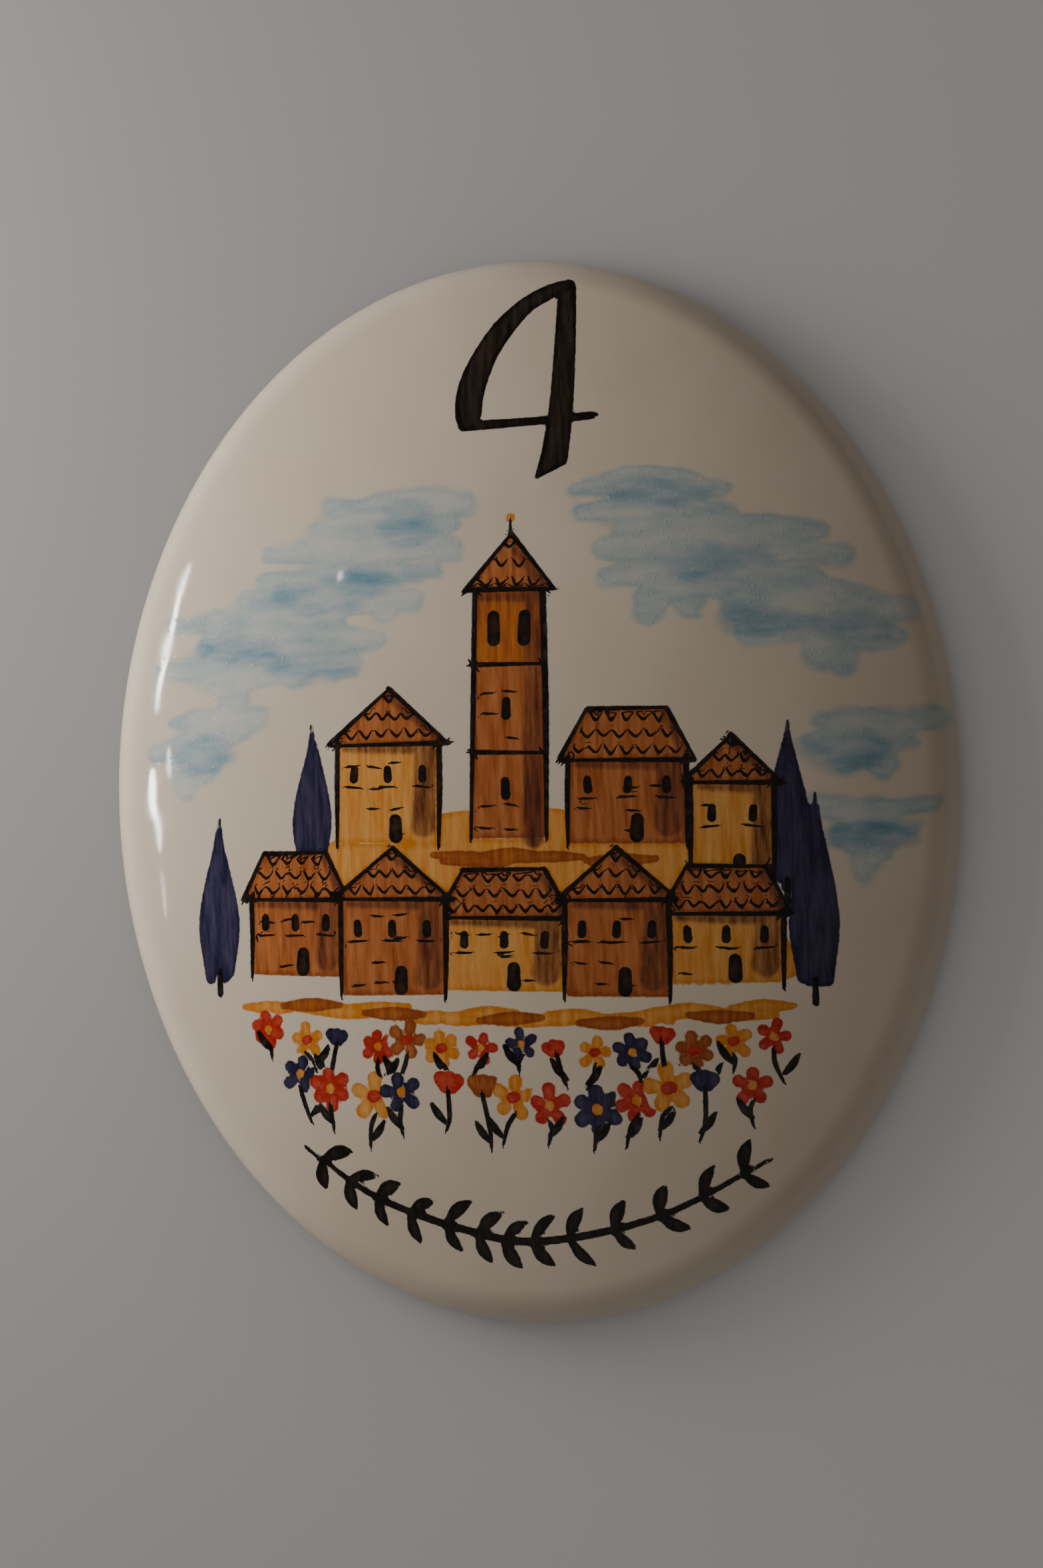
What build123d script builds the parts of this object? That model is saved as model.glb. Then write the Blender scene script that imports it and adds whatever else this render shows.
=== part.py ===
from build123d import *

import os
from math import cos, radians, sin, tan

# Oval house number plaque of glazed earthenware: a domed shell, hollow behind, pressed in
# one piece. X is its width, Z its height, and the front bulges towards -Y. The wall that it
# is set on is the plane Y = 0, and the origin is the middle of the oval on that plane.

# Driving dimensions in millimetres and degrees
plaque_width = 200.0
plaque_height = 250.0
plaque_depth = 28.0
wall_thickness = 7.0
shoulder_slope = 20.0
edge_radius = 13.0
rim_land = 8.0
outer_back_round = 1.5
mouth_round = 1.5
straight_side = 0.5
hollow_corner_radius = 10.0
past_wall_plane = 2.0

# How finely the curves of the section are stepped, and the share of the crown's run that is
# level: a small spot on the front, and a pressed floor in the hollow
round_steps = 2
corner_steps = 4
front_crown_steps = 12
front_level_share = 0.14
hollow_crown_steps = 6
hollow_level_share = 0.42

# The mouth of the hollow, inside the flat ring that seats on the wall
rim_width = outer_back_round + rim_land + mouth_round
mouth_width = plaque_width - 2 * rim_width
mouth_height = plaque_height - 2 * rim_width


def dome_ovals(width, height, depth, seat_inset, corner_radius, crown_steps, level_share):
    """Lists the ovals of a dome, from the wall plane to the crown, as half axes and level.

    The edge keeps the same form all round: a small round at the wall, which leans in by
    seat_inset, a straight side and a rolled corner. The crown above it has ovals in
    proportion. It leaves the apex level and meets the corner at the shoulder slope.
    """
    slope = radians(shoulder_slope)
    seat_radius = abs(seat_inset)
    corner_level = seat_radius + straight_side
    ovals = []

    def add_oval(inset, level):
        ovals.append((width / 2 - inset, height / 2 - inset, level))

    for step in range(round_steps + 1):
        turn = radians(90) * step / round_steps
        add_oval(seat_inset * (1 - sin(turn)), seat_radius * (1 - cos(turn)))

    for step in range(corner_steps + 1):
        tilt = radians(90) + (slope - radians(90)) * step / corner_steps
        add_oval(corner_radius * (1 - sin(tilt)), corner_level + corner_radius * cos(tilt))

    # The crown is a parabola whose middle control point is where its end tangents cross
    shoulder_half_width, shoulder_half_height, shoulder_level = ovals[-1]
    crossing = 1 - (depth - shoulder_level) / tan(slope) / shoulder_half_width
    for step in range(1, crown_steps + 1):
        run = 1 - (1 - level_share) * step / crown_steps
        share = 2 * crossing * run * (1 - run) + run**2
        fall = (run**2 - level_share**2) / (1 - level_share**2)
        level = depth - (depth - shoulder_level) * fall
        ovals.append((shoulder_half_width * share, shoulder_half_height * share, level))
    return ovals


# The hollow behind follows the front at the wall's thickness, and flares at its mouth
with BuildPart() as hollow:
    hollow_ovals = dome_ovals(
        width=mouth_width,
        height=mouth_height,
        depth=plaque_depth - wall_thickness,
        seat_inset=-mouth_round,
        corner_radius=hollow_corner_radius,
        crown_steps=hollow_crown_steps,
        level_share=hollow_level_share,
    )
    for half_width, half_height, level in hollow_ovals:
        with BuildSketch(Plane.XZ.offset(level)):
            Ellipse(half_width, half_height)
    loft(ruled=True)
    extrude(hollow.faces().sort_by(Axis.Y)[-1], amount=past_wall_plane)

# The plaque is a dome, flat at the wall, with the hollow taken out of it
with BuildPart() as plaque:
    front_ovals = dome_ovals(
        width=plaque_width,
        height=plaque_height,
        depth=plaque_depth,
        seat_inset=outer_back_round,
        corner_radius=edge_radius,
        crown_steps=front_crown_steps,
        level_share=front_level_share,
    )
    for half_width, half_height, level in front_ovals:
        with BuildSketch(Plane.XZ.offset(level)):
            Ellipse(half_width, half_height)
    loft(ruled=True)
    add(hollow.part, mode=Mode.SUBTRACT)

plaque.part.label = "plaque"

os.makedirs("parts", exist_ok=True)
export_step(plaque.part, "parts/plaque.step")
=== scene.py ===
# %% [markdown]
# # A painted house number plaque
#
# This plaque is one piece of fired clay. It was pressed over a mould into an oval dome, dipped
# in cream glaze, painted with a soft brush and fired again, so the colours lie inside a glossy
# skin. The clay stays bare behind, where it sits on the wall.
#
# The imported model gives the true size, so it is loaded first and its box is kept. Everything
# below is worked out in the same frame: X is the width, Z the height, and the front bulges
# towards -Y from the wall at Y = 0.

import math
import random

import bpy
import numpy as np
from mathutils import Matrix, Vector


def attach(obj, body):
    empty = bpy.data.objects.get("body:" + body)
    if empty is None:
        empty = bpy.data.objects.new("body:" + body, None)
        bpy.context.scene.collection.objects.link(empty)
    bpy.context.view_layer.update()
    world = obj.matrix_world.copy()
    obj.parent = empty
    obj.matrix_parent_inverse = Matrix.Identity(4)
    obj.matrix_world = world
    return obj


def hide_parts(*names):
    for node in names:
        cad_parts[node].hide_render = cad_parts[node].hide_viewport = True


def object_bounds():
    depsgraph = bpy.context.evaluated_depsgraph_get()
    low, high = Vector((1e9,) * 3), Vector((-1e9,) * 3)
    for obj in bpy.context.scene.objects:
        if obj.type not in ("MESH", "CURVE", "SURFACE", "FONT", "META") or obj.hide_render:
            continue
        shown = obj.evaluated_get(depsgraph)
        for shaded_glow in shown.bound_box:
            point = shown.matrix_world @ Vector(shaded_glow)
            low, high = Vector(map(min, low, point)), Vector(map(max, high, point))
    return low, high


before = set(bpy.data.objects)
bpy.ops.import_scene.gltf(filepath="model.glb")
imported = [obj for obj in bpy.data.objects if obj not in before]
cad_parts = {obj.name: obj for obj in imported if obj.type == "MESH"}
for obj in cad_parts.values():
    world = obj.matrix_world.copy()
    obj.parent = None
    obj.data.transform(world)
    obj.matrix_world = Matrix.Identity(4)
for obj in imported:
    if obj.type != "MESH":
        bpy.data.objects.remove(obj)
cad_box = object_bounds()
cad_low, cad_high = cad_box

mm = 0.001
half_width = (cad_high.x - cad_low.x) / 2
half_height = (cad_high.z - cad_low.z) / 2
depth = -cad_low.y
print("plaque", round(2 * half_width / mm), "x", round(2 * half_height / mm), "mm, deep", round(depth / mm))

# %% [markdown]
# ## The camera
#
# The picture was taken close up, from a little to the right of the plaque and a little below its middle. A
# camera could be aimed with a constraint, but then its roll would be fixed, and here the oval leans a
# degree to the left. So the three directions of the camera are worked out from its angles, and it is set
# back by a given distance and shifted across the view so that the plaque's middle falls on the right pixel.

# %% Place the camera
image_width, image_height = 1568, 2357
view_angle = math.radians(45)
camera_yaw, camera_pitch, camera_roll = math.radians(7.5), math.radians(4), math.radians(1.98)
camera_distance = 449.1 * mm
middle_pixel_x, middle_pixel_y = 798, 1178

ahead = Vector((
    -math.sin(camera_yaw) * math.cos(camera_pitch),
    math.cos(camera_yaw) * math.cos(camera_pitch),
    math.sin(camera_pitch),
))
level_right = ahead.cross(Vector((0, 0, 1))).normalized()
level_down = ahead.cross(level_right)
right = level_right * math.cos(camera_roll) + level_down * math.sin(camera_roll)
down = level_down * math.cos(camera_roll) - level_right * math.sin(camera_roll)

focal_pixels = image_height / 2 / math.tan(view_angle / 2)
shift_right = (middle_pixel_x - image_width / 2) / focal_pixels * camera_distance
shift_down = (middle_pixel_y - image_height / 2) / focal_pixels * camera_distance

bpy.ops.object.camera_add()
camera = bpy.context.object
camera.name = "photo_camera"
camera.data.sensor_fit = "VERTICAL"
camera.data.sensor_height = camera.data.sensor_width
camera.data.angle = view_angle
camera_place = -(right * shift_right + down * shift_down + ahead * camera_distance)
camera_turn = Matrix((right, -down, -ahead)).transposed().to_4x4()
camera.matrix_world = Matrix.Translation(camera_place) @ camera_turn
bpy.context.scene.camera = camera
print("camera at", [round(value, 3) for value in camera_place])

# %% [markdown]
# ## The wall, the floor and the light
#
# A plaque needs a wall to throw its soft shadow on, so a plain pale one stands just behind it,
# with a pale floor further down. The wall has an oval hole that the plaque covers. A lamp
# behind the wall shines through the hole and lights the hollow, and can't leak round the rim.
# Seen from behind, the wall must not hide the plaque: it is solid only to a camera in front of
# it, which Light Path and Backfacing can tell.
#
# The light comes from a window on the left, low along the wall, so the right of the dome has
# only the room's dim light. A soft lamp as large as the window would mirror in the glaze as a
# wide pale patch, but the glaze shows only thin bright streaks with pointed ends. So the soft
# lamps are hidden from reflections, and narrow elliptical lamps stand where they mirror in the
# left shoulder. Each is set between two end points.
#
# A light this low throws a long dark shadow, and a real room fills it with light from all
# sides. Here the wall itself has a faint glow instead, which lights the shadow but hardly the
# plaque. Ambient Occlusion fades the glow in the corner round the rim, as room light would.

# %% Build the wall and the floor
wall_gap = 0.4 * mm
hole_inset = 1.5 * mm
stage_reach = 30
floor_size, floor_drop = 6.0, 0.75
# The wall's glow is painted light for the room's fill, and near the rim it fades into a painted shade over
# the reach below.
wall_colour, wall_glow = (0.22, 0.213, 0.212, 1), 0.14
glow_shade_reach = 40 * mm
glow_colour = (1.0, 0.97, 0.95, 1)


def stage_material(name, colour, glow, one_sided):
    material = bpy.data.materials.new(name)
    material.use_nodes = True
    nodes, links = material.node_tree.nodes, material.node_tree.links
    paint = nodes["Principled BSDF"]
    paint.inputs["Base Color"].default_value = colour
    paint.inputs["Roughness"].default_value = 0.9
    paint.inputs["Specular IOR Level"].default_value = 0.2
    paint.inputs["Emission Strength"].default_value = glow
    # The glow is painted light that stands for the room's fill, and Ambient Occlusion darkens it near the
    # rim into a painted contact shade.
    shaded_glow = nodes.new("ShaderNodeAmbientOcclusion")
    shaded_glow.samples = 3
    shaded_glow.inputs["Color"].default_value = glow_colour
    shaded_glow.inputs["Distance"].default_value = glow_shade_reach
    links.new(shaded_glow.outputs["Color"], paint.inputs["Emission Color"])
    if one_sided:
        path = nodes.new("ShaderNodeLightPath")
        geometry = nodes.new("ShaderNodeNewGeometry")
        seen_from_behind = nodes.new("ShaderNodeMath")
        seen_from_behind.operation = "MULTIPLY"
        clear = nodes.new("ShaderNodeBsdfTransparent")
        choice = nodes.new("ShaderNodeMixShader")
        links.new(path.outputs["Is Camera Ray"], seen_from_behind.inputs[0])
        links.new(geometry.outputs["Backfacing"], seen_from_behind.inputs[1])
        links.new(seen_from_behind.outputs["Value"], choice.inputs["Fac"])
        links.new(paint.outputs["BSDF"], choice.inputs[1])
        links.new(clear.outputs["BSDF"], choice.inputs[2])
        links.new(choice.outputs["Shader"], nodes["Material Output"].inputs["Surface"])
    return material


bpy.ops.object.select_all(action="DESELECT")
bpy.ops.mesh.primitive_circle_add(vertices=200, radius=1, rotation=(math.pi / 2, 0, 0))
wall = bpy.context.object
wall.name = "plain_wall"
bpy.ops.object.transform_apply(location=True, rotation=True, scale=True)
bpy.ops.object.mode_set(mode="EDIT")
bpy.ops.mesh.select_mode(type="VERT")
bpy.ops.mesh.select_all(action="SELECT")
hole_size = (half_width - hole_inset, 1, half_height - hole_inset)
bpy.ops.transform.resize(value=hole_size, center_override=(0, 0, 0))
bpy.ops.mesh.extrude_edges_move()
bpy.ops.transform.resize(value=(stage_reach, 1, stage_reach), center_override=(0, 0, 0))
bpy.ops.mesh.select_all(action="SELECT")
bpy.ops.transform.translate(value=(0, wall_gap, 0))
bpy.ops.object.mode_set(mode="OBJECT")
if wall.data.polygons[0].normal.y > 0:
    bpy.ops.object.mode_set(mode="EDIT")
    bpy.ops.mesh.flip_normals()
    bpy.ops.object.mode_set(mode="OBJECT")
wall.data.materials.append(stage_material("pale_wall", wall_colour, wall_glow, one_sided=True))

bpy.ops.mesh.primitive_plane_add(size=floor_size, location=(0, 0, -floor_drop))
floor = bpy.context.object
floor.name = "plain_floor"
floor.data.materials.append(stage_material("pale_floor", (0.7, 0.69, 0.67, 1), 0.0, one_sided=False))
print("wall", round(wall_gap / mm, 1), "mm behind the plaque, floor", floor_drop, "m below")

# %% Hang the lights
daylight, lamplight = (1.0, 0.965, 0.92), (1.0, 0.94, 0.86)
soft_place, soft_size, soft_watts = (-0.38, -0.14, 0.14), 0.24, 1.95
room_place, room_size, room_watts = (-0.3, -1.6, 0.3), 2.2, 2.4
back_place, back_size, back_watts = (0.25, 1.1, 0.35), 0.9, 12.0
room_strength = 0.10

slits = (
    ("upper_slit", (-0.85, -0.525, 0.195), (-0.85, -0.577, 0.435), 0.017, 0.62),
    ("lower_slit", (-0.85, -0.535, 0.024), (-0.85, -0.530, 0.104), 0.025, 0.33),
    ("tip_slit", (-0.85, -0.546, -0.012), (-0.85, -0.542, 0.044), 0.011, 0.07),
    ("side_slit", (-0.85, -0.595, 0.092), (-0.85, -0.595, 0.142), 0.011, 0.05),
    ("trail_slit", (-0.85, -0.545, -0.130), (-0.85, -0.545, -0.040), 0.014, 0.03),
    ("ceiling_lamp", (-0.598, -1.10, 0.478), (-0.598, -1.10, 0.496), 0.018, 0.016),
)


def area_light(name, place, axes, size_x, size_y, watts, colour):
    """A rectangle of light whose own directions are given, and which shines along its -Z."""
    bpy.ops.object.light_add(type="AREA")
    light = bpy.context.object
    light.name = name
    light.data.shape = "RECTANGLE"
    light.data.size, light.data.size_y = size_x, size_y
    light.data.energy = watts
    light.data.color = colour
    light.matrix_world = Matrix.Translation(place) @ Matrix(axes).transposed().to_4x4()
    return light


def facing_axes(place, upright):
    """Directions of a rectangle that faces the plaque, with its long side along upright."""
    outward = Vector(place).normalized()
    across = upright.cross(outward).normalized()
    return across, outward.cross(across), outward


soft_axes = facing_axes(soft_place, Vector((0, 0, 1)))
window = area_light("window", soft_place, soft_axes, soft_size, soft_size, soft_watts, daylight)
window.visible_glossy = False
room_axes = facing_axes(room_place, Vector((0, 0, 1)))
room = area_light("room", room_place, room_axes, room_size, room_size, room_watts, lamplight)
room.visible_glossy = False
back_axes = facing_axes(back_place, Vector((0, 0, 1)))
area_light("back_lamp", back_place, back_axes, back_size, back_size, back_watts, (1, 1, 1))
for name, low_end, high_end, slit_width, watts in slits:
    low_end, high_end = Vector(low_end), Vector(high_end)
    slit_middle, slit_run = (low_end + high_end) / 2, high_end - low_end
    slit_axes = facing_axes(slit_middle, slit_run)
    slit = area_light(name, slit_middle, slit_axes, slit_width, slit_run.length, watts, daylight)
    slit.data.shape = "ELLIPSE"

world = bpy.context.scene.world or bpy.data.worlds.new("room")
bpy.context.scene.world = world
world.use_nodes = True
glow = world.node_tree.nodes["Background"]
glow.inputs["Color"].default_value = lamplight + (1,)
glow.inputs["Strength"].default_value = room_strength

# %% [markdown]
# ## The clay shell
#
# The section of the plaque is a low crown, a shoulder that leaves it at 20 degrees, a rolled
# edge, a flat ring that sits on the wall, and a hollow behind that follows the front. A spun
# section scaled into an oval would make the roll fatter at the top than at the sides. So the
# shell is drawn out ring by ring from one circle, as a thrower pulls up a wall: each ring is
# extruded, moved back and resized, and its inset is the same all round.
#
# The middle of the front is closed with a grid and not with a fan, because spokes that meet in
# a point would show in the reflections. The rings are close together, under a millimetre, so
# that the painting later has points enough to follow.

# %% Work out the rings of the section
wall_thickness = 7.0 * mm
shoulder_slope = math.radians(20)
edge_radius = 13.0 * mm
rim_land = 8.0 * mm
back_round = 1.5 * mm
mouth_round = 1.5 * mm
straight_side = 0.5 * mm
hollow_corner_radius = 10.0 * mm

grid_share = 0.5
crown_rings, roll_rings, round_rings = 56, 10, 4
hollow_corner_rings, hollow_rings, hollow_last_share = 5, 8, 0.1

shoulder_inset = edge_radius * (1 - math.sin(shoulder_slope))
side_level = back_round + straight_side
shoulder_level = side_level + edge_radius * math.cos(shoulder_slope)
shoulder_width, shoulder_height = half_width - shoulder_inset, half_height - shoulder_inset


def crown_level(share, foot_half_width, foot_level, top_level):
    """Level of a crown where its oval has this share of its foot's size."""
    rise = top_level - foot_level
    crossing = 1 - rise / math.tan(shoulder_slope) / foot_half_width
    bend = 2 * crossing - 1
    run = (crossing - np.sqrt(crossing**2 - bend * share)) / bend
    return top_level - rise * run**2


def quarter(steps):
    """Turns from 0 to a right angle, the start left out."""
    return [math.pi / 2 * step / steps for step in range(1, steps + 1)]


front_rings = []
for share in np.linspace(grid_share, 1, crown_rings + 1):
    level = float(crown_level(share, shoulder_width, shoulder_level, depth))
    front_rings.append((shoulder_width * share, shoulder_height * share, level))
for step in range(1, roll_rings + 1):
    tilt = shoulder_slope + (math.pi / 2 - shoulder_slope) * step / roll_rings
    inset = edge_radius * (1 - math.sin(tilt))
    front_rings.append((half_width - inset, half_height - inset, side_level + edge_radius * math.cos(tilt)))
front_rings.append((half_width, half_height, back_round))

back_rings = []


def add_back_ring(inset, level):
    back_rings.append((half_width - inset, half_height - inset, level))


for turn in quarter(round_rings):
    add_back_ring(back_round * (1 - math.cos(turn)), back_round * (1 - math.sin(turn)))
add_back_ring(back_round + rim_land, 0)
rim_width = back_round + rim_land + mouth_round
for turn in quarter(round_rings):
    add_back_ring(rim_width - mouth_round * (1 - math.sin(turn)), mouth_round * (1 - math.cos(turn)))
hollow_side_level = mouth_round + straight_side
for step in range(hollow_corner_rings + 1):
    tilt = math.pi / 2 + (shoulder_slope - math.pi / 2) * step / hollow_corner_rings
    inset = rim_width + hollow_corner_radius * (1 - math.sin(tilt))
    add_back_ring(inset, hollow_side_level + hollow_corner_radius * math.cos(tilt))
foot_width, foot_height, foot_level = back_rings[-1]
for share in np.linspace(1, hollow_last_share, hollow_rings + 1)[1:]:
    level = float(crown_level(share, foot_width, foot_level, depth - wall_thickness))
    back_rings.append((foot_width * share, foot_height * share, level))
print("rings in front", len(front_rings), "and behind", len(back_rings))

# %% Draw the shell out ring by ring
spokes = 680
rings = front_rings + back_rings

bpy.ops.object.select_all(action="DESELECT")
bpy.ops.mesh.primitive_circle_add(vertices=spokes, radius=1, rotation=(math.pi / 2, 0, 0))
plaque = bpy.context.object
plaque.name = "painted_plaque"
bpy.ops.object.transform_apply(location=True, rotation=True, scale=True)

bpy.ops.object.mode_set(mode="EDIT")
bpy.ops.mesh.select_mode(type="VERT")
bpy.ops.mesh.select_all(action="SELECT")
first_width, first_height, first_level = rings[0]
bpy.ops.transform.resize(value=(first_width, 1, first_height), center_override=(0, 0, 0))
bpy.ops.transform.translate(value=(0, -first_level, 0))
for (width, height, level), (next_width, next_height, next_level) in zip(rings, rings[1:]):
    bpy.ops.mesh.extrude_edges_move(TRANSFORM_OT_translate={"value": (0, level - next_level, 0)})
    ratio = (next_width / width, 1, next_height / height)
    bpy.ops.transform.resize(value=ratio, center_override=(0, 0, 0))
bpy.ops.mesh.edge_face_add()
bpy.ops.mesh.poke()
bpy.ops.object.mode_set(mode="OBJECT")
print("points after the rings", len(plaque.data.vertices))

# %% Close the front with a grid and lay it on the crown
ring_points = len(rings) * spokes
chosen = np.zeros(len(plaque.data.vertices), bool)
chosen[:spokes] = True
bpy.ops.object.mode_set(mode="EDIT")
bpy.ops.mesh.select_all(action="DESELECT")
bpy.ops.object.mode_set(mode="OBJECT")
plaque.data.vertices.foreach_set("select", chosen)
bpy.ops.object.mode_set(mode="EDIT")
bpy.ops.mesh.fill_grid(span=spokes // 4)
bpy.ops.mesh.select_all(action="SELECT")
bpy.ops.mesh.normals_make_consistent(inside=False)
bpy.ops.object.mode_set(mode="OBJECT")
bpy.ops.object.shade_smooth()

points = np.empty(len(plaque.data.vertices) * 3)
plaque.data.vertices.foreach_get("co", points)
points = points.reshape(-1, 3)
grid_points = np.arange(len(points)) > ring_points
share = np.hypot(points[:, 0] / shoulder_width, points[:, 2] / shoulder_height)
points[grid_points, 1] = -crown_level(share[grid_points], shoulder_width, shoulder_level, depth)
plaque.data.vertices.foreach_set("co", points.ravel())
plaque.data.update()
print("points", len(points), "of which in the grid", int(grid_points.sum()))
print("faces", len(plaque.data.polygons))
print("box", points.min(0).round(4), points.max(0).round(4))

# %% [markdown]
# ## The map for the finished colours
#
# When the plaque is exported, its colours are baked on to a square picture, and a map says which part of
# the picture belongs to which face. A map made by itself would give the plain back as much room as the
# painted front. In this one the front is opened flat, measured along its curve so that the roll isn't
# squeezed, and the back gets a corner.

# %% Lay out the map
front_map_width, front_map_height = 0.78, 0.975
back_map_width, back_map_height = 0.19, 0.2375
map_margin = 0.01

ring_of_point = np.minimum(np.arange(len(points)) // spokes, len(rings))
ring_of_point[grid_points] = 0
ring_of_point[ring_points] = len(rings)
turn_of_point = np.arctan2(points[:, 2] / half_height, points[:, 0] / half_width)

travel = [0.0]
for (width, height, level), (next_width, next_height, next_level) in zip(rings, rings[1:]):
    travel.append(travel[-1] + math.hypot(next_width - width, next_level - level))
travel = np.array(travel + [travel[-1] + rings[-1][0]])
front_reach = rings[0][0] + travel[len(front_rings) - 1]
open_share = (rings[0][0] + travel[ring_of_point]) / front_reach
open_share[grid_points] = share[grid_points] * shoulder_width / front_reach
front_map = np.stack([
    map_margin + front_map_width * (0.5 + 0.5 * open_share * np.cos(turn_of_point)),
    map_margin + front_map_height * (0.5 + 0.5 * open_share * np.sin(turn_of_point)),
], axis=1)
back_share = (travel[-1] - travel[ring_of_point]) / (travel[-1] - travel[len(front_rings) - 1])
back_map = np.stack([
    1 - map_margin - back_map_width * (0.5 - 0.5 * back_share * np.cos(turn_of_point)),
    map_margin + back_map_height * (0.5 + 0.5 * back_share * np.sin(turn_of_point)),
], axis=1)

mesh = plaque.data
corner_point = np.empty(len(mesh.loops), np.int32)
mesh.loops.foreach_get("vertex_index", corner_point)
face_start = np.empty(len(mesh.polygons), np.int32)
mesh.polygons.foreach_get("loop_start", face_start)
face_ring = np.maximum.reduceat(ring_of_point[corner_point], face_start)
face_size = np.diff(np.append(face_start, len(corner_point)))
corner_in_front = np.repeat(face_ring < len(front_rings), face_size)
corner_map = np.where(corner_in_front[:, None], front_map[corner_point], back_map[corner_point])
bake_map = mesh.uv_layers.new(name="OFBake")
bake_map.data.foreach_set("uv", corner_map.astype(np.float32).ravel())
print("map corners in front", int(corner_in_front.sum()), "behind", int((~corner_in_front).sum()))

# %% [markdown]
# ## Brushes that leave distances
#
# The painter's colours have crisp but slightly trembling edges, and they pool darker along the
# rim of each stroke. Painting a picture file would fix the sharpness, and a picture isn't
# allowed to come from outside here. Instead each brush stroke is a few points with a width,
# and every point of the front is told how far it is, in millimetres, from the nearest stroke
# of each colour: less than nothing under the brush, more than nothing outside. The material
# can then draw a sharp edge at zero, and knows how near the edge it is everywhere else.
#
# A pen line is thinner than the mesh is fine, so its distance would be lost between two
# points. It leaves something else: how many half widths a point lies to the left (plus) or to
# the right (minus) of the line. From one side to the other that runs straight through zero, so
# a line can be drawn sharply between points that both lie outside it.
#
# The picture was painted a touch crooked on the oval, so its own upright is turned by two
# degrees. Sizes below are millimetres from the middle of the plaque, in the painter's upright.

# %% Make the brushes
paint_turn = math.radians(2.05)
far_from_paint = 12.0
brush_margin = 3.0

face_x, face_z = points[:, 0] / mm, points[:, 2] / mm
paint_x = face_x * math.cos(paint_turn) - face_z * math.sin(paint_turn)
paint_z = face_x * math.sin(paint_turn) + face_z * math.cos(paint_turn)
on_front = ring_of_point < len(front_rings)

colours = ("sky", "deep_sky", "ochre", "terracotta", "red", "navy", "shade", "dark", "number")
distances = {colour: np.full(len(points), far_from_paint) for colour in colours}
pen_gap = np.full(len(points), far_from_paint)
pen_side = np.full(len(points), far_from_paint)
hand = random.Random(4)


def near(rows, margin):
    """Points of the front that lie close enough to these rows for a brush to reach them."""
    rows = np.asarray(rows, float)
    low, high = rows[:, :2].min(0) - margin, rows[:, :2].max(0) + margin
    inside_x = (paint_x > low[0]) & (paint_x < high[0])
    inside_z = (paint_z > low[1]) & (paint_z < high[1])
    return np.nonzero(inside_x & inside_z & on_front)[0]


def flowing(rows, steps=6):
    """A smooth run through given rows of x, z and width, as a wrist makes it."""
    rows = np.asarray(rows, float)
    if len(rows) < 3:
        return rows
    padded = np.vstack([2 * rows[0] - rows[1], rows, 2 * rows[-1] - rows[-2]])
    run = []
    for before, start, end, after in zip(padded, padded[1:], padded[2:], padded[3:]):
        for step in range(steps):
            t = step / steps
            pull = (end - before) / 2 * t + (2 * before - 5 * start + 4 * end - after) / 2 * t**2
            run.append(start + pull + (3 * start - before - 3 * end + after) / 2 * t**3)
    run.append(rows[-1])
    return np.array(run)


def from_run(run, where):
    """Yields for each straight bit of a run: how far points are from it, its half width, their side."""
    x, z = paint_x[where], paint_z[where]
    for (x0, z0, w0), (x1, z1, w1) in zip(run, run[1:]):
        along_x, along_z = x1 - x0, z1 - z0
        length = max(along_x**2 + along_z**2, 1e-9)
        t = np.clip(((x - x0) * along_x + (z - z0) * along_z) / length, 0, 1)
        off_x, off_z = x - x0 - t * along_x, z - z0 - t * along_z
        side = np.where(off_z * along_x > off_x * along_z, 1, -1)
        yield np.hypot(off_x, off_z), (w0 + t * (w1 - w0)) / 2, side


def run_distance(run, where):
    """Distance from some points to a run of rows, less half the run's width there."""
    nearest = np.full(len(where), far_from_paint)
    for reach, half, side in from_run(run, where):
        nearest = np.minimum(nearest, reach - half)
    return nearest


def stroke(colour, rows, steps=6):
    """One pull of the brush."""
    run = flowing(rows, steps)
    where = near(run, brush_margin + run[:, 2].max())
    distances[colour][where] = np.minimum(distances[colour][where], run_distance(run, where))


def pen(rows, steps=4):
    """One thin line."""
    run = flowing(rows, steps)
    where = near(run, brush_margin)
    for reach, half, side in from_run(run, where):
        closer = reach - half < pen_gap[where]
        pen_side[where] = np.where(closer, side * reach / half, pen_side[where])
        pen_gap[where] = np.where(closer, reach - half, pen_gap[where])


def patch_distance(corners, where):
    """Signed distance from some points to a filled outline."""
    outline = [(x, z, 0.0) for x, z in list(corners) + [corners[0]]]
    gap = run_distance(outline, where)
    x, z = paint_x[where], paint_z[where]
    inside = np.zeros(len(where), bool)
    for (x0, z0, _), (x1, z1, _) in zip(outline, outline[1:]):
        crosses = (z0 > z) != (z1 > z)
        rise = z1 - z0 if z1 != z0 else 1e-9
        inside ^= crosses & (x < x0 + (z - z0) / rise * (x1 - x0))
    return np.where(inside, -gap, gap)


def patch(colour, corners):
    """A filled shape, brushed in one colour."""
    where = near(corners, brush_margin)
    distances[colour][where] = np.minimum(distances[colour][where], patch_distance(corners, where))


def reserve(corners):
    """Keeps a shape free of what was painted before, as a painter leaves room for the nearer thing."""
    where = near(corners, brush_margin)
    gap = patch_distance(corners, where)
    for colour in colours:
        distances[colour][where] = np.maximum(distances[colour][where], -gap)
    pen_gap[where] = np.maximum(pen_gap[where], -gap)


def tremble(size):
    """A small unsteadiness of the hand."""
    return hand.uniform(-size, size)


print("brushes ready for", int(on_front.sum()), "points and", len(colours), "colours")

# %% [markdown]
# ## The number
#
# The figure four is written with a flat brush in dark brown: a curved left stroke that swells
# as it comes down, a thin bar drawn to the right and lifted off, and a straight stem with a
# slanting foot. The stem is a filled shape because its foot is cut at an angle; the other two
# are strokes.

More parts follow.
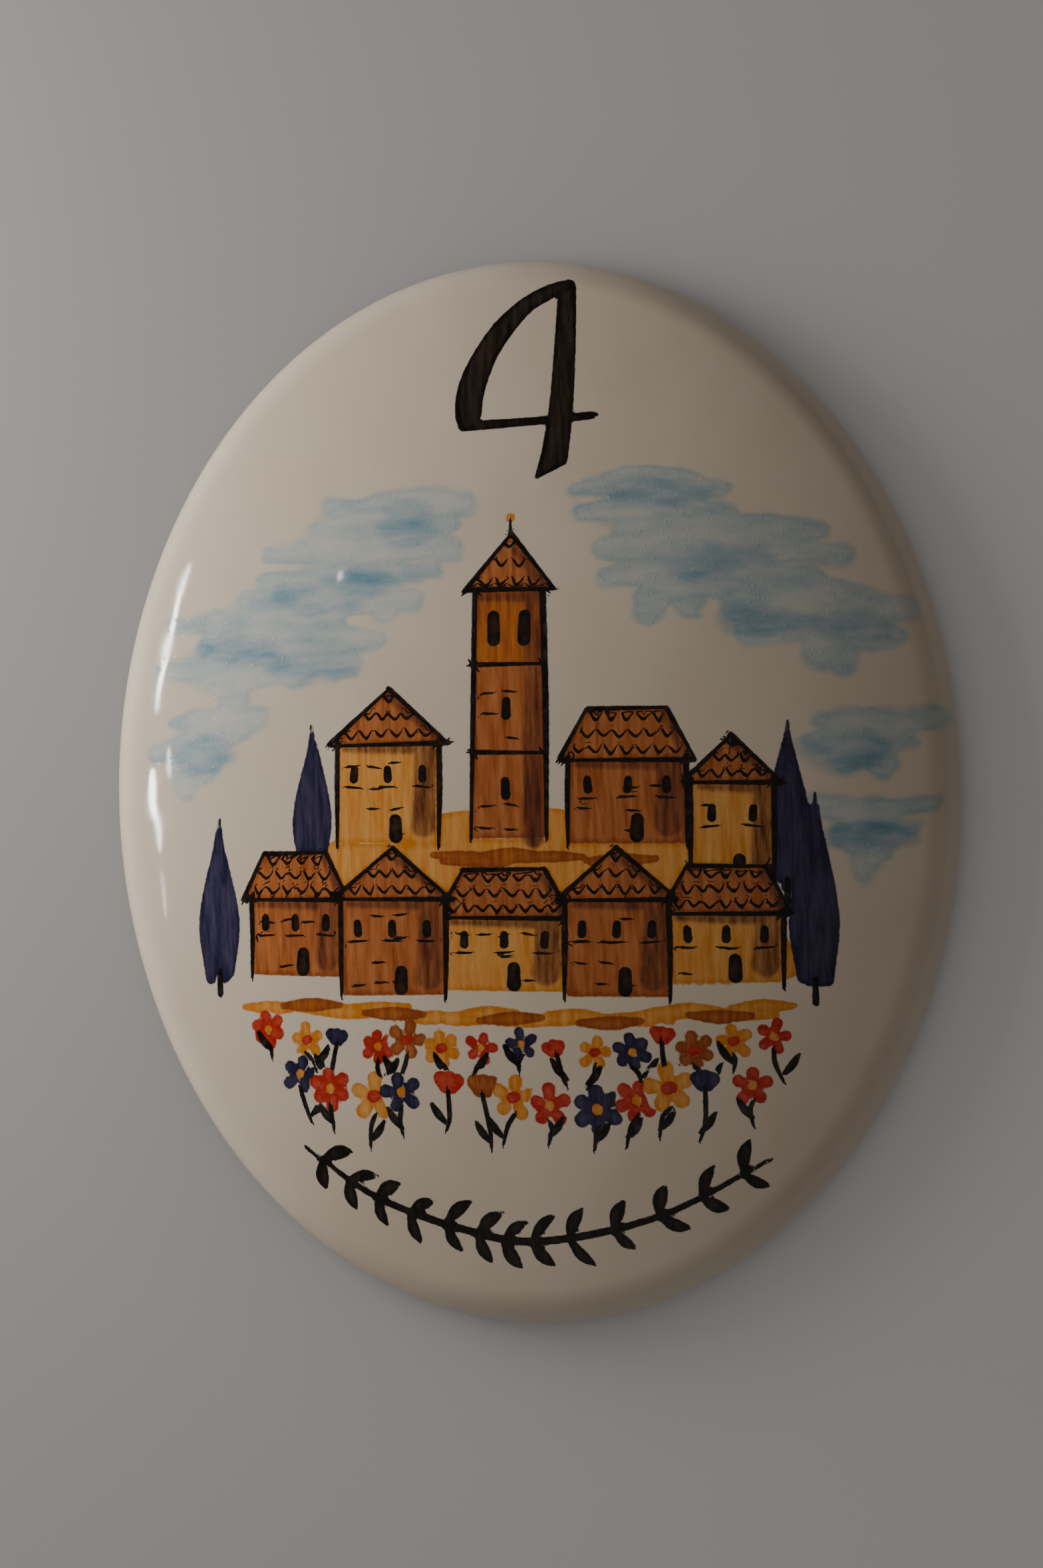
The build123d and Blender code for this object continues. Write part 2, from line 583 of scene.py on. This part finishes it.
# %% Write the figure four
stroke("number", [
    (10.6, 116.0, 2.2), (6.2, 113.8, 3.8), (1.0, 110.6, 4.2), (-3.9, 105.3, 5.2),
    (-7.7, 99.3, 5.6), (-10.6, 92.4, 6.4), (-11.7, 87.2, 6.5), (-11.8, 83.4, 6.0), (-12.2, 81.4, 3.2),
])
stroke("number", [
    (-12.8, 80.9, 2.6), (-3.0, 81.2, 2.2), (7.7, 81.8, 2.0), (15.4, 82.5, 2.0), (17.6, 82.7, 1.4),
])
stem_left = [(8.2, 113.2, 0), (7.7, 99.9, 0), (7.0, 86.7, 0), (5.6, 75.5, 0), (3.7, 67.2, 0)]
stem_right = [(11.3, 71.2, 0), (12.0, 78.6, 0), (12.5, 86.6, 0), (12.7, 103.1, 0), (12.4, 116.6, 0)]
patch("number", [(x, z) for x, z, _ in np.vstack([flowing(stem_left), flowing(stem_right)])])
print("points under the number", int((distances["number"] < 0).sum()))

# %% [markdown]
# ## The sky
#
# Thin blue was dragged sideways with a wide, nearly dry brush, in banks that break up at their
# ends, and a wetter brush left darker patches and short tails along their undersides. Each
# bank is a few long strokes that lie over each other. Their edges are made very soft later,
# and a streaky grain runs along them.

# %% Brush the sky
sky_banks = (
    (-80, -36, 32, 3), (-64, -20, 46, 3), (-42, -15, 60, 2), (-86, -66, 10, 2),
    (20, 50, 63, 2), (25, 72, 50, 3), (46, 84, 35, 2), (62, 87, 10, 2), (70, 86, -9, 2),
)
tail_seed = 12
for left_end, right_end, height, pulls in sky_banks:
    for pull in range(pulls):
        z = height + (pull - (pulls - 1) / 2) * 5.5 + tremble(0.8)
        start, end = left_end + tremble(7), right_end + tremble(7)
        middle = (start + end) / 2
        stroke("sky", [(start, z, 4.5), (middle, z + tremble(1.4), 8.5), (end, z + tremble(1.0), 4.5)])
    for puddle in range(pulls):
        x = hand.uniform(left_end + 9, right_end - 9)
        z = height - hand.uniform(0, 3) * pulls
        reach = hand.uniform(4, 10)
        stroke("deep_sky", [(x - reach, z + 1, 3.4), (x, z + tremble(1), 6.2), (x + reach, z + 0.5, 3.0)])

wet_hand = np.random.default_rng(tail_seed)
for left_end, right_end, height, pulls in sky_banks:
    for tail in range(pulls):
        x = wet_hand.uniform(left_end + 6, right_end - 6)
        top = height - 2.5 * pulls
        fall = wet_hand.uniform(1, 7)
        lean = wet_hand.uniform(-2.5, 2.5)
        stroke("sky", [(x, top + 3, 9.0), (x + lean / 2, top - fall / 2, 8.0), (x + lean, top - fall, 5.5)])
print("sky banks", len(sky_banks))

# %% [markdown]
# ## The village
#
# Walls and tiled roofs stand in two rows on a low hill, with a bell tower behind them. All of
# them are the same few shapes: a wall, a shaded strip down its right, a roof with curved
# tiles, and thin dark lines around them, drawn freehand so that they overrun a little at the
# corners. One function paints a house, and the list below places them from the back to the
# front. Each house first clears its own place, so that what stands behind it ends at its edge.

# %% Make the strokes of a house
line_width = 1.25


def ink(*ends, width=line_width):
    """A thin freehand line through some points, which starts full and thins out."""
    rows = [(x + tremble(0.25), z + tremble(0.25), width) for x, z in ends]
    rows[-1] = rows[-1][:2] + (width * 0.6,)
    pen(rows)


def opening(x, z, width, height):
    """A window or a door: a short dark pull of the brush."""
    low, high = z - (height - width) / 2, z + (height - width) / 2
    stroke("dark", [(x, low, width), (x + tremble(0.2), high, width * 0.9)])


def dashes(left, right, low, high, every=5.0):
    """Short lines that stand for stones in a wall, here and there in even rows."""
    rows, columns = int((high - low) / every), int((right - left) / every)
    for row in range(rows):
        for column in range(columns):
            if hand.random() < 0.4:
                x = left + every * (column + 0.6) + tremble(0.5)
                z = low + every * (row + 0.5) + tremble(0.5)
                ink((x, z), (x + hand.uniform(1.6, 2.4), z), width=0.7)


def tiles(middle, eaves, roof_height, foot_reach, top_reach):
    """Rows of small hanging arcs between the eaves and the ridge."""
    courses = 3
    for course in range(courses):
        level = (course + 0.35) / courses
        z = eaves + roof_height * level
        reach = foot_reach + (top_reach - foot_reach) * level - 1.6
        count = max(1, round(reach / 1.7))
        for tile in range(count):
            x = middle + reach * (2 * (tile + 0.5) / count - 1)
            ink((x - 1.2, z + 0.9), (x, z - 0.5), (x + 1.2, z + 0.9), width=0.65)


def house(left, base, width, wall_height, roof_height, colour, gable):
    right, eaves = left + width, base + wall_height
    middle, overhang = (left + right) / 2, 1.8
    foot_reach = width / 2 + overhang
    top_reach = 0 if gable else width * 0.34
    roof = [(middle - foot_reach, eaves - 0.6), (middle - top_reach, eaves + roof_height),
            (middle + top_reach, eaves + roof_height), (middle + foot_reach, eaves - 0.6)]
    wall_corners = [(left, base), (right, base), (right, eaves), (left, eaves)]
    reserve([(left, base), (right, base), (right, eaves)] + roof[::-1] + [(left, eaves)])
    patch(colour, [(x + tremble(0.3), z + tremble(0.3)) for x, z in wall_corners])
    patch("terracotta", roof)
    strip = width * 0.17
    strip_foot = (right - strip * 0.9, base + strip, strip * 1.4)
    strip_top = (right - strip * 0.8, eaves - 2, strip * 1.2)
    stroke("shade", [strip_foot, strip_top])
    under_eaves = [(left + 2, eaves - 1.6, 1.4), (middle, eaves - 1.8, 2.0), (right - 2, eaves - 1.8, 2.4)]
    stroke("shade", under_eaves)
    stroke("shade", [(middle + foot_reach - 2.2, eaves + 0.8, 2.0),
                     (middle + top_reach - 0.5, eaves + roof_height * 0.86, 1.6)])
    tiles(middle, eaves, roof_height, foot_reach, top_reach)
    dashes(left, right - strip - 1, base, eaves - 2)
    ink((left, eaves), (left + tremble(0.3), (base + eaves) / 2), (left, base - 0.6))
    ink((right, eaves), (right + tremble(0.3), (base + eaves) / 2), (right, base - 0.6), width=1.4)
    for start, end in zip(roof, roof[1:] + roof[:1]):
        if start != end:
            ink(start, end, width=1.25)
    columns, window_z = max(2, round(width / 8)), base + wall_height * 0.68
    for column in range(columns):
        x = left + width * (column + 0.5) / columns
        opening(x, window_z, 2.0, 4.2)
        ink((x - 1.6, window_z - 2.9), (x + 1.6, window_z - 2.9), width=0.7)
    opening(middle + width * 0.08, base + 3.4, 3.2, 6.8)


def tower(left, base, width, height, roof_height):
    right, top = left + width, base + height
    middle, overhang = (left + right) / 2, 1.6
    body = [(left, base), (right, base), (right - 0.8, top), (left + 0.8, top)]
    roof = [(left - overhang, top), (middle, top + roof_height), (right + overhang, top)]
    reserve(body + roof[::-1])
    patch("terracotta", body)
    belfry_foot = base + height * 0.7
    patch("ochre", [(left + 0.8, belfry_foot), (right - 0.8, belfry_foot), body[2], body[3]])
    patch("terracotta", roof)
    waist = base + height / 2
    stroke("shade", [(right - 2.8, base, 4.4), (right - 3.2, waist, 3.6), (right - 3.0, top - 2, 3.6)])
    stroke("shade", [(left + 2, top - 1.6, 1.8), (right - 2, top - 1.8, 2.4)])
    stroke("shade", [(right - 1, top + 1, 2.4), (middle + 1.2, top + roof_height * 0.7, 1.6)])
    tiles(middle, top, roof_height, width / 2 + overhang, 0)
    dashes(left, right - 3, base, belfry_foot)
    ink((left + 0.8, top), (left + 0.3, waist), (left, base))
    ink((right - 0.8, top), (right - 0.3, waist), (right, base), width=1.5)
    for course in (0.34, 0.7):
        ink((left + 0.2, base + height * course), (right - 0.2, base + height * course))
    ink(roof[0], roof[1], width=1.3)
    ink(roof[1], roof[2], width=1.3)
    ink(roof[0], roof[2], width=1.5)
    ink((middle, top + roof_height - 0.5), (middle, top + roof_height + 3.4), width=0.9)
    stroke("ochre", [(middle, top + roof_height + 3.6, 2.2), (middle + 0.2, top + roof_height + 3.8, 2.0)])
    for side in (-1, 1):
        opening(middle + side * width * 0.2, base + height * 0.845, 3.0, 8.4)
    opening(middle - 0.5, base + height * 0.52, 2.2, 5.4)
    opening(middle - 0.5, base + height * 0.2, 2.2, 5.4)


def tree(x, base, height, width):
    """A dark tree of overlapping upward pulls."""
    for pull in range(5):
        lean = (pull - 2) / 2
        foot = (x + lean * width * 0.26, base + hand.uniform(1, 4), width * 0.3)
        belly = (x + lean * width * 0.36 + tremble(0.4), base + height * 0.4, width * 0.42)
        tip = (x + lean * width * 0.08 + tremble(0.3), base + height * (1 - 0.12 * abs(lean)), 0.8)
        stroke("navy", [foot, belly, tip])
    stroke("dark", [(x, base - 2.4, 1.6), (x, base + 3, 1.4)])


print("house, tower and tree are ready")

# %% Paint the village from the back to the front
hill = [(-58, -44), (-52, -30), (-43, -15), (-14, -8), (14, -8), (42, -17), (57, -33), (60, -45), (0, -46)]
patch("ochre", [(x, z) for x, z, _ in flowing([(x, z, 0) for x, z in hill + hill[:1]])])
for pull in range(9):
    x, z = hand.uniform(-34, 34), hand.uniform(-26, -17)
    stroke("terracotta", [(x - 7, z + tremble(0.6), 1.5), (x, z, 2.6), (x + 7, z + tremble(0.6), 1.5)])
tower(left=-10, base=-14, width=17, height=56, roof_height=13)
house(left=-41, base=-15, width=24, wall_height=23, roof_height=12, colour="ochre", gable=True)
house(left=12, base=-15, width=26, wall_height=19, roof_height=11, colour="terracotta", gable=False)
tree(x=-47, base=-22, height=34, width=8)
tree(x=60, base=-26, height=38, width=9)
house(left=39, base=-24, width=18, wall_height=23, roof_height=10, colour="ochre", gable=True)
house(left=-62, base=-45, width=22, wall_height=18, roof_height=10, colour="terracotta", gable=False)
house(left=-16, base=-48, width=27, wall_height=17, roof_height=10, colour="ochre", gable=False)
house(left=-40, base=-49, width=24, wall_height=22, roof_height=11, colour="terracotta", gable=True)
house(left=34, base=-46, width=25, wall_height=16, roof_height=10, colour="ochre", gable=False)
house(left=11, base=-49, width=23, wall_height=22, roof_height=11, colour="terracotta", gable=True)
tree(x=-70, base=-47, height=38, width=9)
tree(x=66, base=-48, height=44, width=10)
for pull in range(20):
    spread = 2 * (pull + 0.5) / 20 - 1
    x, z = spread * 58 + tremble(2), -51.5 - 2.5 * (1 - spread**2) + tremble(1.2)
    tone = ("ochre", "terracotta", "ochre", "ochre")[pull % 4]
    stroke(tone, [(x - 7, z + tremble(0.6), 1.5), (x, z, 3.2), (x + 7, z + tremble(0.6), 1.5)])
lined = (np.abs(pen_side) < 1) & (pen_gap < 0)
print("points under a pen line", int(lined.sum()))

# %% [markdown]
# ## The meadow
#
# In front of the village a thick strip of flowers takes up the strong colours. A flower is a
# few short dabs around a middle, or three upright ones for a bud, on a thin bent stem with a
# leaf. The back row comes first; each flower clears its own place before it is painted.

# %% Paint the meadow
def circle(x, z, radius):
    return [(x + math.cos(turn) * radius, z + math.sin(turn) * radius) for turn in np.linspace(0, 5.5, 8)]


def flower(x, z, size, colour, stem):
    bud = hand.random() < 0.25
    head_z, head_radius = (z + 2.2 * size, 2.6 * size) if bud else (z, 4.2 * size)
    reserve(circle(x, head_z, head_radius))
    foot_x, foot_z = x + tremble(2.5), z - stem
    stem_top = z + 0.8 * size if bud else z - 3.2 * size
    bend = ((x + foot_x) / 2 + tremble(0.8), (z + foot_z) / 2 - 1, 1.15)
    pen([(x, stem_top, 1.1), bend, (foot_x, foot_z, 0.7)])
    leaf = hand.choice((-1, 1))
    leaf_tip = (foot_x + leaf * 3.4, foot_z + 6.2, 0.9)
    stroke("dark", [(foot_x, foot_z + 1.6, 1.0), (foot_x + leaf * 2, foot_z + 3.8, 1.9), leaf_tip])
    petals = 3 if bud else hand.choice((5, 5, 6))
    turn = math.pi / 2 + tremble(0.3)
    for petal in range(petals):
        angle = turn + (petal - 1) * 0.5 if bud else turn + math.tau * petal / petals
        out_x, out_z = math.cos(angle) * size, math.sin(angle) * size
        tip = hand.uniform(2.5, 3.2)
        petal_foot = (x + out_x * 1.3, z + out_z * 1.3, 1.9 * size)
        stroke(colour, [petal_foot, (x + out_x * tip, z + out_z * tip, 2.6 * size)])
    if not bud:
        reserve(circle(x, z, 1.0 * size))
        heart = "ochre" if colour in ("red", "navy") else "red"
        stroke(heart, [(x - 0.3, z, 2.2 * size), (x + 0.4, z + 0.2, 2.0 * size)])


flower_colours = ("red", "ochre", "navy", "red", "terracotta", "ochre", "red", "navy")
rows_of_flowers = ((15, 61, -58, 3, 1.0, 8), (13, 55, -67, 6, 1.25, 10))
flowers = 0
for count, reach, level, sag, size, stem in rows_of_flowers:
    for place in range(count):
        spread = 2 * (place + 0.5) / count - 1
        x = spread * reach + tremble(1.4)
        z = level - sag * (1 - spread**2) + tremble(1.8)
        colour = flower_colours[flowers % len(flower_colours)]
        flower(x, z, size * hand.uniform(0.85, 1.15), colour, stem + tremble(2))
        flowers += 1
print("flowers", flowers)

# %% [markdown]
# ## The sprig
#
# Under the picture a leafy sprig in the brown of the number follows the curve of the plaque.

# %% Paint the sprig
sprig = flowing([
    (-50, -84, 1.0), (-33, -95, 1.6), (-12, -102, 1.9), (5, -104, 1.9), (31, -98, 1.6), (56, -85, 1.0),
], steps=8)
stroke("number", sprig, steps=1)
leaf_every = 3
for place in range(2, len(sprig) - 2, leaf_every):
    x, z, _ = sprig[place]
    ahead_x, ahead_z = sprig[place + 1][:2] - sprig[place - 1][:2]
    heading = math.atan2(ahead_z, ahead_x)
    for side in (1, -1):
        angle = heading + side * math.radians(hand.uniform(38, 58))
        reach = hand.uniform(6.4, 8.6)
        curl = angle + side * 0.14
        belly_x, belly_z = x + reach * 0.55 * math.cos(curl), z + reach * 0.55 * math.sin(curl)
        tip_x, tip_z = x + reach * math.cos(angle), z + reach * math.sin(angle)
        stroke("number", [(x, z, 1.0), (belly_x, belly_z, hand.uniform(2.6, 3.4)), (tip_x, tip_z, 0.6)])
print("sprig of", len(sprig), "steps")

# %% [markdown]
# ## Handing the distances to the material
#
# Each colour's distances become a named attribute of the mesh, and the pen's two as well. One
# more attribute tells how far a point lies past the line where the glaze stops, near the wall,
# so that the back can stay bare clay.

# %% Store the attributes
glaze_stop = 0.9 * mm
past_glaze = np.where(on_front, glaze_stop + points[:, 1], 6 * mm) / mm
past_glaze = np.clip(past_glaze, -far_from_paint, far_from_paint)


def store(name, values):
    attribute = mesh.attributes.new(name, "FLOAT", "POINT")
    attribute.data.foreach_set("value", values.astype(np.float32))


for colour in colours:
    store(f"paint_{colour}", distances[colour])
store("pen_gap", pen_gap)
store("pen_side", pen_side)
store("past_glaze", past_glaze)
print("attributes", [item.name for item in mesh.attributes if item.name.startswith(("paint", "pen"))])

# %% [markdown]
# ## A coat of paint as a node group
#
# All the colours behave alike, so one node group does the work for each. It shakes the edge a
# little with noise, turns the distance into a mask, lets the pigment be thinner where a grain
# of bristle marks runs and thicker where it pools along the edge, and lays the result over the
# colour below. The group only gives colours and masks; the shader stays in the material.

# %% Make helpers for nodes
def socket(tree, name, kind, direction, default=None):
    made = tree.interface.new_socket(name=name, in_out=direction, socket_type=kind)
    if default is not None:
        made.default_value = default


def add_node(tree, kind, settings=(), values=()):
    """A node with some of its settings and some of its inputs filled in."""
    node = tree.nodes.new(kind)
    for name, value in dict(settings).items():
        setattr(node, name, value)
    for name, value in dict(values).items():
        node.inputs[name].default_value = value
    return node


def fill(tree, node, values):
    """Fills inputs, by name or place, with links or plain values."""
    for place, value in values.items():
        if isinstance(value, bpy.types.NodeSocket):
            tree.links.new(value, node.inputs[place])
        else:
            node.inputs[place].default_value = value


def mix_colours(tree, factor, below, above):
    node = add_node(tree, "ShaderNodeMix", {"data_type": "RGBA"})
    fill(tree, node, {0: factor, 6: below, 7: above})
    return node.outputs[2]


def math_node(tree, operation, *values, clamp=False):
    node = add_node(tree, "ShaderNodeMath", {"operation": operation, "use_clamp": clamp})
    fill(tree, node, dict(enumerate(values)))
    return node.outputs[0]


def ramp(tree, value, from_low, from_high, to_low=0.0, to_high=1.0, smooth=False):
    """Maps a value from one range to another, clamped."""
    curve = "SMOOTHSTEP" if smooth else "LINEAR"
    node = add_node(tree, "ShaderNodeMapRange", {"interpolation_type": curve})
    fill(tree, node, dict(enumerate((value, from_low, from_high, to_low, to_high))))
    return node.outputs[0]


def noise(tree, place, scale, detail=2.0, roughness=0.5):
    values = {"Scale": scale, "Detail": detail, "Roughness": roughness}
    node = add_node(tree, "ShaderNodeTexNoise", values=values)
    tree.links.new(place, node.inputs["Vector"])
    return node.outputs["Fac"]


print("helpers for nodes are ready")

# %% Build the paint group
paint_group = bpy.data.node_groups.new("Coat of paint", "ShaderNodeTree")
socket(paint_group, "Under", "NodeSocketColor", "INPUT")
socket(paint_group, "Distance", "NodeSocketFloat", "INPUT")
socket(paint_group, "Place", "NodeSocketVector", "INPUT")
socket(paint_group, "Grain", "NodeSocketVector", "INPUT")
socket(paint_group, "Thin", "NodeSocketColor", "INPUT")
socket(paint_group, "Thick", "NodeSocketColor", "INPUT")
socket(paint_group, "Softness", "NodeSocketFloat", "INPUT", 0.3)
socket(paint_group, "Tremble", "NodeSocketFloat", "INPUT", 0.3)
socket(paint_group, "Cover", "NodeSocketFloat", "INPUT", 0.8)
socket(paint_group, "Pooling", "NodeSocketFloat", "INPUT", 0.6)
socket(paint_group, "Colour", "NodeSocketColor", "OUTPUT")
socket(paint_group, "Mask", "NodeSocketFloat", "OUTPUT")
group_in = paint_group.nodes.new("NodeGroupInput").outputs
group_out = paint_group.nodes.new("NodeGroupOutput").inputs

shake = math_node(paint_group, "SUBTRACT", noise(paint_group, group_in["Place"], 0.9, detail=3.0), 0.5)
shaken = math_node(paint_group, "MULTIPLY_ADD", shake, group_in["Tremble"], group_in["Distance"])
half_soft = math_node(paint_group, "MULTIPLY", group_in["Softness"], 0.5)
outer_soft = math_node(paint_group, "MULTIPLY", group_in["Softness"], -0.5)
edge_mask = ramp(paint_group, shaken, half_soft, outer_soft, smooth=True)
bristle = ramp(paint_group, noise(paint_group, group_in["Grain"], 1.0, detail=4.0, roughness=0.6), 0.3, 0.7)
pooled = math_node(paint_group, "MULTIPLY", ramp(paint_group, shaken, -1.4, -0.1), group_in["Pooling"])
body = math_node(paint_group, "ADD", bristle, pooled, clamp=True)
cover = ramp(paint_group, body, 0.0, 1.0, group_in["Cover"], 1.0)
mask = math_node(paint_group, "MULTIPLY", edge_mask, cover)
pigment = mix_colours(paint_group, body, group_in["Thin"], group_in["Thick"])
paint_group.links.new(mix_colours(paint_group, mask, group_in["Under"], pigment), group_out["Colour"])
paint_group.links.new(mask, group_out["Mask"])
print("paint group has", len(paint_group.nodes), "nodes")

# %% [markdown]
# ## The painted glaze
#
# The glaze is warm cream, a little mottled. The coats of paint lie over it in the order the
# painter used. It is very smooth, so it mirrors the window, but it isn't flat: the glaze flowed
# in slow waves, and tiny blisters stand in the dry-brushed sky and make it sparkle. Behind the
# glaze line the same material turns to matt fired clay.

# %% Mix the colours of the glaze
glaze = bpy.data.materials.new("painted_glaze")
glaze.use_nodes = True
tree = glaze.node_tree
shader = tree.nodes["Principled BSDF"]


def attribute(name):
    return add_node(tree, "ShaderNodeAttribute", {"attribute_name": name}).outputs["Fac"]


def scaled_place(scale_x, scale_y, scale_z):
    """Object coordinates in millimetres, stretched so that a grain runs along one direction."""
    mapping = add_node(tree, "ShaderNodeMapping", {"vector_type": "POINT"})
    mapping.inputs["Scale"].default_value = (scale_x / mm, scale_y / mm, scale_z / mm)
    tree.links.new(object_place, mapping.inputs["Vector"])
    return mapping.outputs["Vector"]


object_place = tree.nodes.new("ShaderNodeTexCoord").outputs["Object"]
millimetres = scaled_place(1, 1, 1)
drifting = scaled_place(0.06, 0.1, 0.16)
across_grain = scaled_place(0.05, 0.2, 0.20)
upright_grain = scaled_place(0.8, 0.3, 0.09)
even_grain = scaled_place(0.45, 0.45, 0.45)

cream_light, cream_deep = (0.66, 0.575, 0.465, 1), (0.62, 0.525, 0.41, 1)
mottle = ramp(tree, noise(tree, millimetres, 0.035, detail=3.0), 0.3, 0.7)
layers = {"top": mix_colours(tree, mottle, cream_light, cream_deep)}
masks = {}


def lay(colour, distance, grain, thin, thick, softness, shaking, covering, pooling, place=millimetres):
    """Lays one coat over what is there."""
    coat = add_node(tree, "ShaderNodeGroup", {"node_tree": paint_group, "label": f"{colour} paint"})
    fill(tree, coat, {
        "Under": layers["top"], "Distance": distance, "Place": place, "Grain": grain,
        "Thin": thin + (1,), "Thick": thick + (1,), "Softness": softness,
        "Tremble": shaking, "Cover": covering, "Pooling": pooling,
    })
    layers["top"] = coat.outputs["Colour"]
    masks[colour] = coat.outputs["Mask"]


washes = (
    ("sky", (0.49, 0.53, 0.525), (0.29, 0.395, 0.43), 2.4, 8.0, 0.58, 0.45),
    ("deep_sky", (0.30, 0.40, 0.455), (0.13, 0.265, 0.345), 4.4, 8.0, 0.35, 0.15),
)
for colour, thin, thick, softness, shaking, covering, pooling in washes:
    distance = attribute(f"paint_{colour}")
    lay(colour, distance, across_grain, thin, thick, softness, shaking, covering, pooling, drifting)

solids = (
    ("ochre", upright_grain, (0.72, 0.33, 0.055), (0.56, 0.19, 0.02), 0.35, 0.5, 0.88, 0.5),
    ("terracotta", upright_grain, (0.50, 0.145, 0.02), (0.27, 0.06, 0.012), 0.35, 0.5, 0.92, 0.55),
    ("red", even_grain, (0.56, 0.05, 0.018), (0.40, 0.016, 0.008), 0.3, 0.45, 0.92, 0.5),
    ("navy", upright_grain, (0.034, 0.03, 0.095), (0.014, 0.012, 0.04), 0.3, 0.45, 0.95, 0.5),
    ("shade", upright_grain, (0.17, 0.045, 0.02), (0.07, 0.018, 0.01), 1.3, 0.8, 0.5, 0.0),
)
for colour, grain, thin, thick, softness, shaking, covering, pooling in solids:
    lay(colour, attribute(f"paint_{colour}"), grain, thin, thick, softness, shaking, covering, pooling)

pen_half_width, pen_guard = 0.5, 0.6
beside_pen = math_node(tree, "ABSOLUTE", attribute("pen_side"))
pen_edge = math_node(tree, "MULTIPLY_ADD", beside_pen, pen_half_width, -pen_half_width)
pen_reach = math_node(tree, "SUBTRACT", attribute("pen_gap"), pen_guard)
pen_distance = math_node(tree, "MAXIMUM", pen_edge, pen_reach)
line_distance = math_node(tree, "MINIMUM", pen_distance, attribute("paint_dark"))
line_thin, line_thick = (0.022, 0.012, 0.009), (0.005, 0.004, 0.004)
lay("dark", line_distance, even_grain, line_thin, line_thick, 0.22, 0.3, 0.94, 0.5)
number_thin, number_thick = (0.026, 0.012, 0.005), (0.004, 0.002, 0.0015)
lay("number", attribute("paint_number"), upright_grain, number_thin, number_thick, 0.25, 0.35, 0.97, 0.7)
print("coats", list(masks))

# %% Finish the glaze and the clay
clay_grain = noise(tree, millimetres, 0.6, detail=5.0, roughness=0.65)
clay = mix_colours(tree, ramp(tree, clay_grain, 0.3, 0.7), (0.60, 0.40, 0.28, 1), (0.46, 0.28, 0.185, 1))
glaze_edge = math_node(tree, "SUBTRACT", noise(tree, millimetres, 0.22, detail=2.0), 0.5)
bare = ramp(tree, math_node(tree, "MULTIPLY_ADD", glaze_edge, 1.6, attribute("past_glaze")), -0.1, 0.1)
tree.links.new(mix_colours(tree, bare, layers["top"], clay), shader.inputs["Base Color"])

gloss = ramp(tree, noise(tree, millimetres, 0.12, detail=2.0), 0.3, 0.7, 0.035, 0.07)
roughness = ramp(tree, bare, 0.0, 1.0, gloss, 0.88)
tree.links.new(roughness, shader.inputs["Roughness"])
shader.inputs["IOR"].default_value = 1.52

waves = math_node(tree, "MULTIPLY", noise(tree, millimetres, 0.045, detail=1.0), 0.25)
blisters_per_mm, blister_rise = 0.7, 0.04
blister = add_node(tree, "ShaderNodeTexVoronoi", values={"Scale": blisters_per_mm})
tree.links.new(millimetres, blister.inputs["Vector"])
dots = ramp(tree, blister.outputs["Distance"], 0.08, 0.26, blister_rise, 0.0, smooth=True)
dotted = math_node(tree, "MULTIPLY", dots, masks["sky"])
clay_relief = math_node(tree, "MULTIPLY", math_node(tree, "MULTIPLY", clay_grain, 0.35), bare)
relief = math_node(tree, "ADD", math_node(tree, "ADD", waves, dotted), clay_relief)
bump = add_node(tree, "ShaderNodeBump", values={"Strength": 1.0, "Distance": mm})
tree.links.new(relief, bump.inputs["Height"])
tree.links.new(bump.outputs["Normal"], shader.inputs["Normal"])
plaque.data.materials.clear()
plaque.data.materials.append(glaze)
print("glaze has", len(tree.nodes), "nodes")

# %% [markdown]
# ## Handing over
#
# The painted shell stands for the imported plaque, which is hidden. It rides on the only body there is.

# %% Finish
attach(plaque, "root")
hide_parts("plaque")
